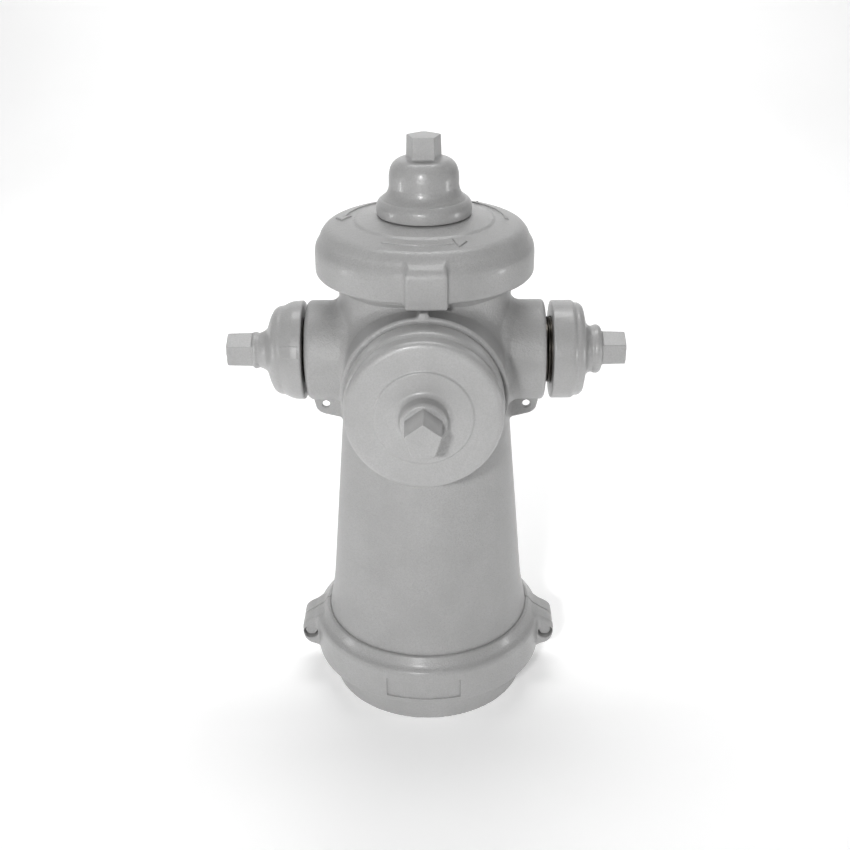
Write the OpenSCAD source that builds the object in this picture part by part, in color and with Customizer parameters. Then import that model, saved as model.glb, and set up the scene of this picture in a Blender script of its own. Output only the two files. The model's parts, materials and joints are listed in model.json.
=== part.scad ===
// Above-ground section of a dry-barrel fire hydrant: two hose outlets and one pumper outlet,
// a screwed bonnet with a five-sided operating nut, and a breakable two-piece ground clamp.
// Millimetres, +Z up. The origin is on the hydrant's axis at its bottom face.
// The pumper outlet faces -Y, the hose outlets face -X and +X.

/* [Main body] */
// Radius of the barrel above the cone
neck_r = 99.4; // [98.5:0.1:100.5]
// Radius of the barrel where it enters the ground clamp
flare_r = 127.5; // [126:0.5:128.5]
// Height where the barrel starts to widen downwards
cone_top_z = 388; // [370:1:400]
// Height of the three outlet centre lines above the bottom face
outlet_z = 452; // [450:0.5:454]
// Wall thickness of the barrel casting
barrel_wall = 11.4; // [10:0.2:12]

/* [Ground clamp] */
// Outer radius of the clamp band
clamp_r = 145; // [142:0.5:148]
// Radius of the lower barrel end
stub_r = 122.7; // [120:0.1:123]
// Distance of each clamp bolt from the axis
clamp_bolt_x = 153.5; // [153:0.5:155]
// Half of the gap between the two clamp halves
clamp_half_gap = 1; // [0.6:0.1:1.5]

/* [Hose outlets] */
// Radius of a hose outlet boss
hose_boss_r = 59; // [58:0.5:60]
// Distance of a hose outlet boss face from the axis
hose_boss_x = 139; // [138:0.5:140]
// Waterway radius of a hose nozzle
hose_bore_r = 31.75; // [30:0.25:32]
// Outer radius of the hose thread
hose_thread_r = 38.95; // [38.5:0.05:39]
// Distance that the right hose cap is backed off its seat
right_cap_backoff = 5; // [1:0.5:8]

/* [Pumper outlet] */
// Radius of the pumper outlet boss at its lip
pumper_boss_r = 91; // [90:0.5:92]
// Distance of the pumper boss face from the axis
pumper_boss_y = 136.5; // [136:0.5:138]
// Waterway radius of the pumper nozzle
pumper_bore_r = 57.15; // [55:0.25:58]
// Outer radius of the pumper thread
pumper_thread_r = 73.15; // [72.5:0.05:73.2]

/* [Bonnet and operating nut] */
// Outer radius of the bonnet rim
bonnet_r = 125; // [124:0.5:126]
// Height of the bonnet rim's lower edge
bonnet_rim_z = 552.5; // [552:0.5:554]
// Width of the square lug on the front of the rim
lug_w = 45; // [40:1:50]
// Circumscribed radius of a five-sided nut at its base, 38.1 from point to flat
nut_base_r = 21.06; // [20.5:0.01:21.5]
// Circumscribed radius of a five-sided nut at its tip
nut_tip_r = 20.2; // [19.8:0.05:20.4]
// Height of the operating nut's top face
top_z = 705; // [703:0.5:707]

/* [Valve stem] */
// Radius of the upper stem's thread
stem_thread_r = 14.92; // [14.9:0.01:14.96]
// Radius of the plain stem
stem_r = 14; // [13:0.5:14]
// Distance that the stem moves down as the valve opens
stem_travel = 50.8; // [45:0.1:50.8]

/* [Hidden] */
$fn = 96;
eps = 0.01;
overcut = 20;

// paint and metal colours
paint = [0.66, 0.66, 0.65];
bronze = [0.72, 0.55, 0.30];
steel = [0.60, 0.61, 0.63];
rubber = [0.13, 0.13, 0.13];

// ground clamp and the two barrel ends inside it
stub_top_z = 72;
barrel_bottom_z = 75;
bead_r = 134;
bead_h = 17;
bead_gap = 0.4;
clamp_bottom_z = 41;
clamp_band_top_z = 83;
clamp_top_z = 101;
clamp_lip_r = flare_r + 2.5;
ear_x = 164;
ear_depth = 25;
clamp_bolt_z = 62;
clamp_bolt_r = 4.76;
clamp_head_r = 8.25;
clamp_head_h = 6;
clamp_recess_r = 9.6;
clamp_recess_d = 12;
// outline of one ear, seen from the front
ear_outline = [
  [clamp_r - 8, clamp_bottom_z], [149, clamp_bottom_z], [157, 45], [162, 51], [ear_x, 58],
  [ear_x, 70], [162, 75], [156, 80], [147, 84.5], [clamp_r - 8, 88]
];

// barrel
spigot_z = 546;
spigot_r = 108;
barrel_top_z = 574;
inner_neck_r = neck_r - barrel_wall;
eye_x = 121;
eye_z = outlet_z - 70;
eye_r = 4.7;
eye_pad_r = 13;
lug_thickness = 6;
blend_r = 6;

// nozzles, measured outwards from the axis
hose_insert_r = 37;
hose_insert_inner = 90;
hose_neck_l = 4.5;
hose_nozzle_end = hose_boss_x + 26;
pumper_insert_r = 71;
pumper_insert_inner = 86;
pumper_nozzle_end = pumper_boss_y + 34;
ring_section = 1.7;
hose_ring_at = 128;
pumper_ring_at = 124;
screw_r = 4;
screw_l = 14;
hose_screw_at = 116;
pumper_screw_at = 112;

// caps, measured outwards from the axis when seated
gap = 0.3;
gasket_t = 3.6;
hose_rim_at = hose_boss_x + 3.2;
hose_floor_at = hose_nozzle_end + gasket_t + 2 * gap;
hose_cap_bore_r = hose_thread_r + gap;
pumper_rim_at = pumper_boss_y + 2.5;
pumper_floor_at = pumper_nozzle_end + gasket_t + 2 * gap;
pumper_cap_bore_r = pumper_thread_r + gap;
pumper_face_at = 189;
cap_nut_l = 30.5;
side_nut_tilt = 22;
left_cap_l = 92;
right_cap_l = 88;

// bonnet and top works
crown_r = 107.5;
crown_z = 606.5;
hub_top_z = 617;
hub_r = 44;
plate_bottom_z = barrel_top_z + 0.2;
plate_top_z = 584;
plate_r = 100;
washer_t = 1.8;
collar_bottom_z = 590.2;
collar_top_z = 598;
collar_r = 33;
chamber_r = 36;
washer_seat_z = collar_bottom_z - 0.1 - washer_t;
hold_down_bottom_z = collar_top_z + 0.1 + washer_t;
hold_down_head_r = 43.9;
hold_down_head_h = 11;
nut_hub_r = 24.5;
nut_bottom_z = 586;
stem_nut_z = nut_bottom_z + 14;
stem_nut_r = 20;
stem_nut_h = 40;
dome_bottom_z = 618;
dome_flange_r = 53.7;
dome_r = 39.3;
dome_top_z = 680.5;
running = 0.06;
plug_r = 6;
plug_place = [55, 77.5, 604];
hold_down_seal_z = 611;
seal_groove_r = 95;
bonnet_step_z = 578;
lug_offset = 3;
lug_proud = 8;
lug_h = 42;
dome_room_r = 33.5;
head_room_r = hold_down_head_r + 2.6;

// stem
seal_floor_z = 540;
seal_bottom_z = 522;
stem_seal_heights = [seal_bottom_z + 4, seal_bottom_z + 12];
seal_cup_r = 34;
seal_cup_bore_r = 24;
sleeve_r = 17;
sleeve_top_z = 588;
sleeve_bottom_z = 462;
stop_bottom_z = seal_floor_z + stem_travel + 0.4;
stop_h = 6;
stop_r = 21;
stem_top_z = 668;
upper_stem_end_z = 128;
lower_stem_top_z = 122;
lower_stem_end_z = 62;
coupling_bottom_z = 94;
coupling_top_z = 156;
coupling_r = 24;
coupling_pin_r = 5;
coupling_pin_offset = 17;
coupling_fit = 0.05;
coupling_mid_z = (coupling_bottom_z + coupling_top_z) / 2;
pin_heights = [coupling_mid_z - coupling_pin_offset, coupling_mid_z + coupling_pin_offset];
cotter_at = coupling_r + 3;

// points of an arc in a profile, from angle a0 to a1
function arc(cx, cy, r, a0, a1, n = 6) =
  [for (i = [0:n]) [cx + r * cos(a0 + (a1 - a0) * i / n), cy + r * sin(a0 + (a1 - a0) * i / n)]];

// a body of revolution whose profile is (radius, distance along the outlet's own axis)
module along_left() rotate([0, -90, 0]) children();
module along_right() rotate([0, 90, 0]) children();
module along_front() rotate([90, 0, 0]) children();
module at_outlets() translate([0, 0, outlet_z]) children();

// an O-ring lying across the Z axis
module o_ring(r, section) {
  rotate_extrude() translate([r, 0]) circle(r = section, $fn = 24);
}

// five-sided nut that tapers from base to tip, with a rounded-off crown
module five_sided_nut(length) {
  base_flat = nut_base_r * cos(36);
  taper = atan((nut_base_r - nut_tip_r) * cos(36) / length);
  side = 80;
  difference() {
    cylinder(r = nut_base_r + 1, h = length);
    for (i = [0:4]) {
      rotate([0, 0, 36 + 72 * i]) translate([base_flat, -side / 2, 0])
        rotate([0, -taper, 0]) translate([0, 0, -side / 2]) cube([side, side, 2 * side]);
    }
    rotate_extrude() polygon([
      [nut_tip_r - 1.6, length + eps], [nut_tip_r + 5, length - 3.3], [nut_tip_r + 5, length + eps]
    ]);
  }
}

// ---- ground clamp --------------------------------------------------------------------------

module lower_barrel_end() color(paint) difference() {
  union() {
    cylinder(r = stub_r, h = clamp_bottom_z);
    cylinder(r = stub_r - 0.6, h = stub_top_z);
    translate([0, 0, stub_top_z - bead_h]) cylinder(r = bead_r, h = bead_h);
  }
  translate([0, 0, -1]) cylinder(r = stub_r - 15, h = stub_top_z + 2);
}

module barrel_gasket() color(rubber) translate([0, 0, stub_top_z]) difference() {
  cylinder(r = stub_r + 5, h = barrel_bottom_z - stub_top_z);
  translate([0, 0, -1]) cylinder(r = stub_r - 14, h = barrel_bottom_z);
}

// the full ring that the two halves are cut from
module clamp_ring() rotate_extrude() polygon(concat(
  [[stub_r + 0.5, clamp_bottom_z]],
  arc(clamp_r - 4, clamp_bottom_z + 4, 4, -90, 0, 4),
  arc(clamp_r - 6, clamp_band_top_z - 2, 6, 0, 50, 4),
  arc(clamp_lip_r + 2.5, clamp_top_z - 2.5, 2.5, 50, 180, 4),
  [[clamp_lip_r, barrel_bottom_z + bead_h + bead_gap],
   [bead_r + bead_gap, barrel_bottom_z + bead_h + bead_gap],
   [bead_r + bead_gap, stub_top_z - bead_h - bead_gap],
   [stub_r + 0.5, stub_top_z - bead_h - bead_gap]]));

// one ear block on each side, with its bolt hole and head recess; side is -1 front, 1 rear
module clamp_half(side) difference() {
  union() {
    intersection() {
      clamp_ring();
      translate([-200, side > 0 ? clamp_half_gap : -200 - clamp_half_gap, 0]) cube([400, 200, 200]);
    }
    for (x = [-1, 1]) {
      translate([0, side > 0 ? ear_depth : -clamp_half_gap, 0]) rotate([90, 0, 0])
        linear_extrude(ear_depth - clamp_half_gap) polygon([for (p = ear_outline) [x * p[0], p[1]]]);
    }
  }
  for (x = [-1, 1]) {
    translate([x * clamp_bolt_x, 0, clamp_bolt_z]) {
      rotate([-90 * side, 0, 0]) cylinder(r = clamp_bolt_r + 0.4, h = 3 * ear_depth);
      rotate([-90 * side, 0, 0]) translate([0, 0, ear_depth - clamp_recess_d])
        cylinder(r = clamp_recess_r, h = clamp_recess_d + overcut);
    }
  }
}

module clamp_half_front() color(paint) clamp_half(-1);
module clamp_half_rear() color(paint) clamp_half(1);

module clamp_bolts() color(paint) for (x = [-1, 1]) {
  translate([x * clamp_bolt_x, -(ear_depth - clamp_recess_d), clamp_bolt_z]) {
    rotate([90, 0, 0]) cylinder(r = clamp_head_r, h = clamp_head_h, $fn = 6);
    rotate([-90, 0, 0]) cylinder(r = clamp_bolt_r, h = 2 * ear_depth - clamp_recess_d);
  }
}

module clamp_nuts() color(paint) for (x = [-1, 1]) {
  translate([x * clamp_bolt_x, ear_depth - clamp_recess_d, clamp_bolt_z]) rotate([-90, 0, 0]) difference() {
    cylinder(r = clamp_head_r, h = 5.5, $fn = 6);
    translate([0, 0, -1]) cylinder(r = clamp_bolt_r, h = overcut);
  }
}

// ---- barrel with its outlets ---------------------------------------------------------------

// outlet boss with a rounded front edge
module boss(r, front, edge) rotate_extrude() polygon(concat(
  [[0, 0], [r - 1, 0], [r, front - 30]], arc(r - edge, front - edge, edge, 0, 90), [[0, front]]));

// eye plate under a hose boss, in the plane through the boss and the barrel
module chain_lug(side) rotate([90, 0, 0]) translate([0, 0, -lug_thickness / 2]) linear_extrude(lug_thickness)
  polygon([for (p = concat(
    [[hose_boss_x - 5, outlet_z - hose_boss_r + 12], [hose_boss_x - 5, outlet_z - hose_boss_r + 3]],
    arc(eye_x, eye_z, eye_pad_r, 5, -75, 6),
    [[neck_r + 3, eye_z - 18], [neck_r - 6, eye_z - 18], [neck_r - 6, outlet_z - hose_boss_r + 12]]))
    [side * p[0], p[1]]]);

module barrel_outside() {
  rotate_extrude() polygon([
    [0, barrel_bottom_z], [bead_r, barrel_bottom_z], [bead_r, barrel_bottom_z + bead_h],
    [flare_r + 1.5, barrel_bottom_z + bead_h], [flare_r + 0.5, barrel_bottom_z + bead_h + 1.5],
    [flare_r, clamp_top_z], [flare_r - 3.5, clamp_top_z + 16],
    [flare_r - 7.5, clamp_top_z + 40], [neck_r, cone_top_z], [neck_r, spigot_z - 8],
    [spigot_r, spigot_z], [spigot_r, barrel_top_z], [0, barrel_top_z]
  ]);
  at_outlets() {
    along_left() boss(hose_boss_r, hose_boss_x, blend_r);
    along_right() boss(hose_boss_r, hose_boss_x, blend_r);
    along_front() boss(pumper_boss_r, pumper_boss_y, 2.5);
  }
  for (side = [-1, 1]) chain_lug(side);
  // rib on top of the pumper boss, under the bonnet lug
  translate([-5, -pumper_boss_y + 1, outlet_z + pumper_boss_r - 6]) cube([10, 26, 11]);
}

module barrel_inside() rotate_extrude() polygon([
  [0, barrel_bottom_z - 1], [stub_r - 14, barrel_bottom_z - 1], [stub_r - 14, clamp_top_z + 10],
  [inner_neck_r, cone_top_z], [inner_neck_r, barrel_top_z + 1], [0, barrel_top_z + 1]
]);

// bore of a boss, with its O-ring groove
module boss_bore(r, from, ring_at) {
  translate([0, 0, from]) cylinder(r = r, h = 120);
  translate([0, 0, ring_at - ring_section - 0.3])
    cylinder(r = r + 2 * ring_section + 0.1, h = 2 * ring_section + 0.6);
}

// the three lock screws, each lying across its nozzle; extra makes them the holes that hold them
module lock_screw_shapes(extra) at_outlets() {
  for (x = [-1, 1]) {
    translate([x * hose_screw_at, hose_insert_r, 0]) rotate([-90, 0, 0])
      cylinder(r = screw_r, h = screw_l + extra);
  }
  translate([0, -pumper_screw_at, -pumper_insert_r]) rotate([180, 0, 0])
    cylinder(r = screw_r, h = screw_l + extra);
}

module nozzle_barrel() color(paint) difference() {
  barrel_outside();
  barrel_inside();
  at_outlets() {
    along_left() boss_bore(hose_insert_r, 60, hose_ring_at);
    along_right() boss_bore(hose_insert_r, 60, hose_ring_at);
    along_front() boss_bore(pumper_insert_r, 40, pumper_ring_at);
  }
  lock_screw_shapes(overcut);
  for (x = [-1, 1]) {
    translate([x * eye_x, 0, eye_z]) rotate([90, 0, 0])
      translate([0, 0, -lug_thickness]) cylinder(r = eye_r, h = 2 * lug_thickness);
  }
}

module nozzle_lock_screws() color(steel) lock_screw_shapes(0);

// threaded nozzle: plain body in the boss, neck, then the hose thread
module nozzle(bore, body, thread, inner, face, end) difference() {
  rotate_extrude() polygon([
    [0, inner], [body, inner], [body, face], [body - 0.7, face], [body - 0.7, face + hose_neck_l - 1.5],
    [thread, face + hose_neck_l], [thread, end - 1.5], [thread - 1.5, end], [0, end]
  ]);
  rotate_extrude() polygon([
    [0, inner - 1], [bore + 4, inner - 1], [bore, inner + 8], [bore, end - 2], [bore + 1.5, end + eps],
    [bore + 1.5, end + 1], [0, end + 1]
  ]);
}

module hose_nozzle()
  nozzle(hose_bore_r, hose_insert_r, hose_thread_r, hose_insert_inner, hose_boss_x, hose_nozzle_end);
module hose_nozzle_left() color(bronze) at_outlets() along_left() hose_nozzle();
module hose_nozzle_right() color(bronze) at_outlets() along_right() hose_nozzle();
module pumper_nozzle() color(bronze) at_outlets() along_front()
  nozzle(pumper_bore_r, pumper_insert_r, pumper_thread_r, pumper_insert_inner, pumper_boss_y,
    pumper_nozzle_end);

module hose_nozzle_o_rings() color(rubber) at_outlets() {
  along_left() translate([0, 0, hose_ring_at]) o_ring(hose_insert_r + ring_section + 0.05, ring_section);
  along_right() translate([0, 0, hose_ring_at]) o_ring(hose_insert_r + ring_section + 0.05, ring_section);
}

module pumper_nozzle_o_ring() color(rubber) at_outlets() along_front()
  translate([0, 0, pumper_ring_at]) o_ring(pumper_insert_r + ring_section + 0.05, ring_section);

// ---- caps ----------------------------------------------------------------------------------

// left hose cap: short band, tapering shoulder, slim bell neck with a small bead
module left_cap_outline() polygon(concat(
  [[0, 0], [57, 0], [58.6, 1.5], [58, 12], [56.3, 17.6], [53.4, 23.2]],
  arc(47, 29.5, 5.5, 20, 70, 4),
  [[41.7, 38.9], [33, 42], [25.9, 44.4], [22.6, 49], [20.2, 54.5], [21.7, 57.5], [21.9, 60],
   [20.5, 61.7], [0, 61.7]]));

// right hose cap: wide band, stepped shoulder, thick neck with a round collar
module right_cap_outline() polygon(concat(
  [[0, 0], [56.6, 0], [57.8, 1.2]], arc(55.5, 24.2, 2.4, 0, 60, 3), [[54.8, 27.6]],
  arc(49.5, 31.5, 5.2, 10, 70, 4),
  [[40, 39.2], [31.6, 41.2], [27.6, 45.2], [27, 48], [28.6, 51.5], [28.8, 55], [26.5, 58.4],
   [21.5, 60.2], [0, 60.2]]));

// a hose cap with its rim at the given distance; nut_end is the tip of its nut from the rim,
// and nut_turn is the direction of one of the nut's corners
module hose_cap_solid(rim_at, floor_at, nut_end, nut_turn) difference() {
  union() {
    translate([0, 0, rim_at]) rotate_extrude() children();
    translate([0, 0, rim_at + nut_end - cap_nut_l]) rotate([0, 0, nut_turn]) five_sided_nut(cap_nut_l);
  }
  translate([0, 0, rim_at - 1]) cylinder(r = hose_cap_bore_r, h = floor_at - rim_at + 1);
  translate([0, 0, rim_at]) rotate_extrude()
    polygon([[0, -eps], [hose_cap_bore_r + 2, -eps], [hose_cap_bore_r - eps, 2], [0, 2]]);
}

module hose_cap_left() color(paint) at_outlets() along_left()
  hose_cap_solid(hose_rim_at, hose_floor_at, left_cap_l, side_nut_tilt) left_cap_outline();
module hose_cap_right() color(paint) at_outlets() along_right()
  hose_cap_solid(hose_rim_at + right_cap_backoff, hose_floor_at + right_cap_backoff, right_cap_l,
    180 - side_nut_tilt) right_cap_outline();

module cap_gasket(bore, r, from) translate([0, 0, from]) difference() {
  cylinder(r = r, h = gasket_t);
  translate([0, 0, -1]) cylinder(r = bore, h = gasket_t + 2);
}

module hose_cap_left_gasket() color(rubber) at_outlets() along_left()
  cap_gasket(hose_bore_r, hose_thread_r - 0.5, hose_nozzle_end + gap);
module hose_cap_right_gasket() color(rubber) at_outlets() along_right()
  cap_gasket(hose_bore_r, hose_thread_r - 0.5, hose_nozzle_end + gap + right_cap_backoff);

module pumper_cap() color(paint) at_outlets() along_front() difference() {
  union() {
    rotate_extrude() polygon(concat(
      [[0, pumper_rim_at], [85.2, pumper_rim_at], [86.5, pumper_rim_at + 1.3]],
      arc(82.5, 161, 4, 0, 55, 3), [[83.6, 168], [84.6, 170]],
      arc(78.6, pumper_face_at - 6, 6, 0, 90),
      [[53.5, pumper_face_at], [52.8, pumper_face_at + 1.4], [29, pumper_face_at + 1.4],
       [26.2, pumper_face_at + 5], [25.4, pumper_face_at + 17], [22.5, pumper_face_at + 20],
       [0, pumper_face_at + 20]]));
    translate([0, 0, pumper_face_at + 57 - cap_nut_l - 8]) rotate([0, 0, 90]) five_sided_nut(cap_nut_l + 8);
  }
  translate([0, 0, pumper_rim_at - 1])
    cylinder(r = pumper_cap_bore_r, h = pumper_floor_at - pumper_rim_at + 1);
}

module pumper_cap_gasket() color(rubber) at_outlets() along_front()
  cap_gasket(pumper_bore_r, pumper_thread_r - 0.5, pumper_nozzle_end + gap);

// ---- bonnet and top works ------------------------------------------------------------------

module bonnet_outside() {
  rotate_extrude() polygon(concat(
    [[0, bonnet_rim_z]], arc(bonnet_r - 4, bonnet_rim_z + 4, 4, -90, 0, 4),
    [[bonnet_r, bonnet_step_z], [bonnet_r - 1.2, bonnet_step_z + 7], [bonnet_r - 6, bonnet_step_z + 15]],
    arc(crown_r, crown_z - 12, 12, 15, 80, 5),
    [[78, 612.2], [54, hub_top_z], [0, hub_top_z]]));
  translate([lug_offset - lug_w / 2, -bonnet_r - lug_proud, bonnet_rim_z - 3])
    cube([lug_w, lug_proud + 18, lug_h]);
}

module bonnet() color(paint) difference() {
  bonnet_outside();
  // socket for the barrel's threaded spigot, and the seat of the seal plate
  translate([0, 0, bonnet_rim_z - overcut])
    cylinder(r = spigot_r + 0.05, h = plate_bottom_z - bonnet_rim_z + overcut);
  translate([0, 0, plate_bottom_z - 1]) cylinder(r = plate_r + 0.2, h = plate_top_z - plate_bottom_z + 1);
  // oil reservoir
  rotate_extrude() polygon([
    [hub_r, plate_top_z - 1], [90, plate_top_z - 1], [92, plate_top_z + 5], [101, plate_top_z + 8],
    [101, 596], [76, 600.5], [52, 604], [hub_r, 604]
  ]);
  // hold-down nut thread, collar chamber and the lower guide bore
  translate([0, 0, washer_seat_z]) cylinder(r = chamber_r, h = 60);
  translate([0, 0, plate_top_z - 1]) cylinder(r = nut_hub_r + running, h = 20);
  translate(plug_place) translate([0, 0, -12]) cylinder(r = plug_r, h = 40);
}

module oil_fill_plug() color(paint) translate(plug_place) difference() {
  translate([0, 0, -8]) cylinder(r = plug_r, h = 10);
  translate([0, 0, -2]) cylinder(r = 3.2, h = 10, $fn = 6);
}

module hold_down_nut() color(bronze) difference() {
  union() {
    translate([0, 0, hold_down_bottom_z]) cylinder(r = chamber_r, h = hub_top_z - hold_down_bottom_z);
    translate([0, 0, hub_top_z]) cylinder(r = hold_down_head_r, h = hold_down_head_h, $fn = 6);
  }
  translate([0, 0, hold_down_bottom_z - 1]) cylinder(r = nut_hub_r + running, h = 60);
  translate([0, 0, hold_down_seal_z - 2]) cylinder(r = nut_hub_r + 3.4, h = 4);
}

module hold_down_o_ring() color(rubber) translate([0, 0, hold_down_seal_z])
  o_ring(nut_hub_r + running + 1.65, 1.6);

module thrust_washers() color(bronze) for (z = [washer_seat_z, hold_down_bottom_z - washer_t]) {
  translate([0, 0, z]) difference() {
    cylinder(r = chamber_r - 1, h = washer_t);
    translate([0, 0, -1]) cylinder(r = nut_hub_r + 0.5, h = washer_t + 2);
  }
}

module seal_plate() color(bronze) difference() {
  union() {
    translate([0, 0, plate_bottom_z]) cylinder(r = plate_r, h = plate_top_z - plate_bottom_z);
    translate([0, 0, seal_bottom_z]) cylinder(r = seal_cup_r, h = plate_bottom_z - seal_bottom_z + 1);
  }
  translate([0, 0, seal_floor_z]) cylinder(r = seal_cup_bore_r, h = 60);
  translate([0, 0, seal_bottom_z - 1]) cylinder(r = sleeve_r + running, h = 40);
  for (z = stem_seal_heights) translate([0, 0, z - 2]) cylinder(r = sleeve_r + 3.5, h = 4);
  for (z = [plate_bottom_z - 1, plate_top_z - 2.8]) translate([0, 0, z]) difference() {
    cylinder(r = seal_groove_r + 2.2, h = 3.8);
    translate([0, 0, -1]) cylinder(r = seal_groove_r - 2.2, h = 6);
  }
}

module seal_plate_o_rings() color(rubber) for (z = [plate_bottom_z + 1.3, plate_top_z - 1.3])
  translate([0, 0, z]) o_ring(seal_groove_r, 1.25);

module stem_seal_o_rings() color(rubber) for (z = stem_seal_heights)
  translate([0, 0, z]) o_ring(sleeve_r + running + 1.65, 1.6);

// ---- operating nut -------------------------------------------------------------------------

module operating_nut() color(paint) difference() {
  union() {
    rotate_extrude() polygon(concat(
      [[0, dome_bottom_z], [dome_flange_r, dome_bottom_z], [dome_flange_r, 630],
       [51.8, 633.2], [47, 637]],
      arc(48.5, 649, 9.2, -100, -180, 5),
      arc(dome_r - 16.5, 663.5, 16.5, 0, 78, 7),
      [[22.4, dome_top_z], [0, dome_top_z + 1]]));
    translate([0, 0, dome_top_z - 2]) rotate([0, 0, 90]) five_sided_nut(top_z - dome_top_z + 2);
    translate([0, 0, nut_bottom_z]) cylinder(r = nut_hub_r, h = 60);
    translate([0, 0, collar_bottom_z]) cylinder(r = collar_r, h = collar_top_z - collar_bottom_z);
  }
  // room for the hold-down nut under the dome
  difference() {
    union() {
      translate([0, 0, dome_bottom_z - 1]) cylinder(r = head_room_r, h = hold_down_head_h + 1.5);
      translate([0, 0, dome_bottom_z - 1]) cylinder(r = dome_room_r, h = 44);
    }
    translate([0, 0, dome_bottom_z - 2]) cylinder(r = nut_hub_r, h = 60);
  }
  // stem bore: stop clearance, bronze nut seat, then the blind stem room
  translate([0, 0, nut_bottom_z - 1]) cylinder(r = stop_r + 0.5, h = 14);
  translate([0, 0, stem_nut_z - 2]) cylinder(r = stem_nut_r, h = stem_nut_h + 2);
  translate([0, 0, stem_nut_z]) cylinder(r = stem_thread_r + 0.7, h = stem_top_z + 4 - stem_nut_z);
}

module stem_nut() color(bronze) translate([0, 0, stem_nut_z]) difference() {
  cylinder(r = stem_nut_r, h = stem_nut_h);
  translate([0, 0, -1]) cylinder(r = stem_thread_r + 0.08, h = 60);
}

// ---- valve stem ----------------------------------------------------------------------------

module upper_stem() color(steel) difference() {
  union() {
    translate([0, 0, upper_stem_end_z]) cylinder(r = stem_r, h = sleeve_top_z - upper_stem_end_z);
    translate([0, 0, sleeve_top_z - 1]) cylinder(r = stem_thread_r, h = stem_top_z - sleeve_top_z);
    translate([0, 0, stem_top_z - 1]) cylinder(r1 = stem_thread_r, r2 = stem_thread_r - 2, h = 2);
  }
  coupling_pin_holes();
}

module stem_sleeve() color(bronze) translate([0, 0, sleeve_bottom_z]) difference() {
  cylinder(r = sleeve_r, h = sleeve_top_z - sleeve_bottom_z - 1);
  translate([0, 0, -1]) cylinder(r = stem_r, h = 200);
}

module travel_stop() color(bronze) translate([0, 0, stop_bottom_z]) difference() {
  cylinder(r = stop_r, h = stop_h);
  translate([0, 0, -1]) cylinder(r = stem_thread_r, h = stop_h + 2);
}

// pin holes through the coupling and both stem ends
module coupling_pin_holes() for (z = pin_heights) {
  translate([-2 * coupling_r, 0, z]) rotate([0, 90, 0])
    cylinder(r = coupling_pin_r + coupling_fit, h = 4 * coupling_r);
}

module stem_coupling() color(paint) difference() {
  rotate_extrude() polygon([
    [stem_r + coupling_fit, coupling_bottom_z], [coupling_r, coupling_bottom_z],
    [coupling_r, coupling_mid_z - 3], [coupling_r - 4, coupling_mid_z - 3],
    [coupling_r - 4, coupling_mid_z + 3], [coupling_r, coupling_mid_z + 3],
    [coupling_r, coupling_top_z], [stem_r + coupling_fit, coupling_top_z]
  ]);
  coupling_pin_holes();
}

module coupling_pins() color(steel) for (z = pin_heights) {
  translate([0, 0, z]) rotate([0, 90, 0]) difference() {
    union() {
      translate([0, 0, -coupling_r]) cylinder(r = coupling_pin_r, h = 2 * coupling_r + 6);
      translate([0, 0, -coupling_r - 3]) cylinder(r = 8, h = 3);
    }
    translate([0, -10, cotter_at]) rotate([-90, 0, 0]) cylinder(r = 1.25, h = 20);
  }
}

module coupling_cotters() color(steel) for (z = pin_heights) {
  translate([cotter_at, 0, z]) rotate([90, 0, 0]) {
    translate([0, 0, -9]) cylinder(r = 1.2, h = 18);
    translate([0, 0, 9]) sphere(r = 2.4, $fn = 24);
  }
}

module lower_stem() color(steel) difference() {
  translate([0, 0, lower_stem_end_z]) cylinder(r = stem_r, h = lower_stem_top_z - lower_stem_end_z);
  coupling_pin_holes();
}

lower_barrel_end();
clamp_half_front();
clamp_half_rear();
clamp_bolts();
clamp_nuts();
barrel_gasket();
nozzle_barrel();
hose_nozzle_left();
hose_nozzle_right();
pumper_nozzle();
hose_nozzle_o_rings();
pumper_nozzle_o_ring();
nozzle_lock_screws();
hose_cap_left();
hose_cap_left_gasket();
hose_cap_right();
hose_cap_right_gasket();
pumper_cap();
pumper_cap_gasket();
bonnet();
oil_fill_plug();
hold_down_nut();
hold_down_o_ring();
thrust_washers();
seal_plate();
seal_plate_o_rings();
stem_seal_o_rings();
operating_nut();
stem_nut();
upper_stem();
stem_sleeve();
travel_stop();
stem_coupling();
coupling_pins();
coupling_cotters();
lower_stem();
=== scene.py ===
"""Looks of a dry-barrel fire hydrant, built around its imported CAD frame.

The painted castings are modelled as distance fields in millimetres, with the fillets and soft edges of
cast iron, then turned into meshes. Threads are swept as helices. Sizes follow the CAD nodes they replace.
"""

import json
import math

import bpy
import numpy as np
from mathutils import Matrix, Vector


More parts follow.
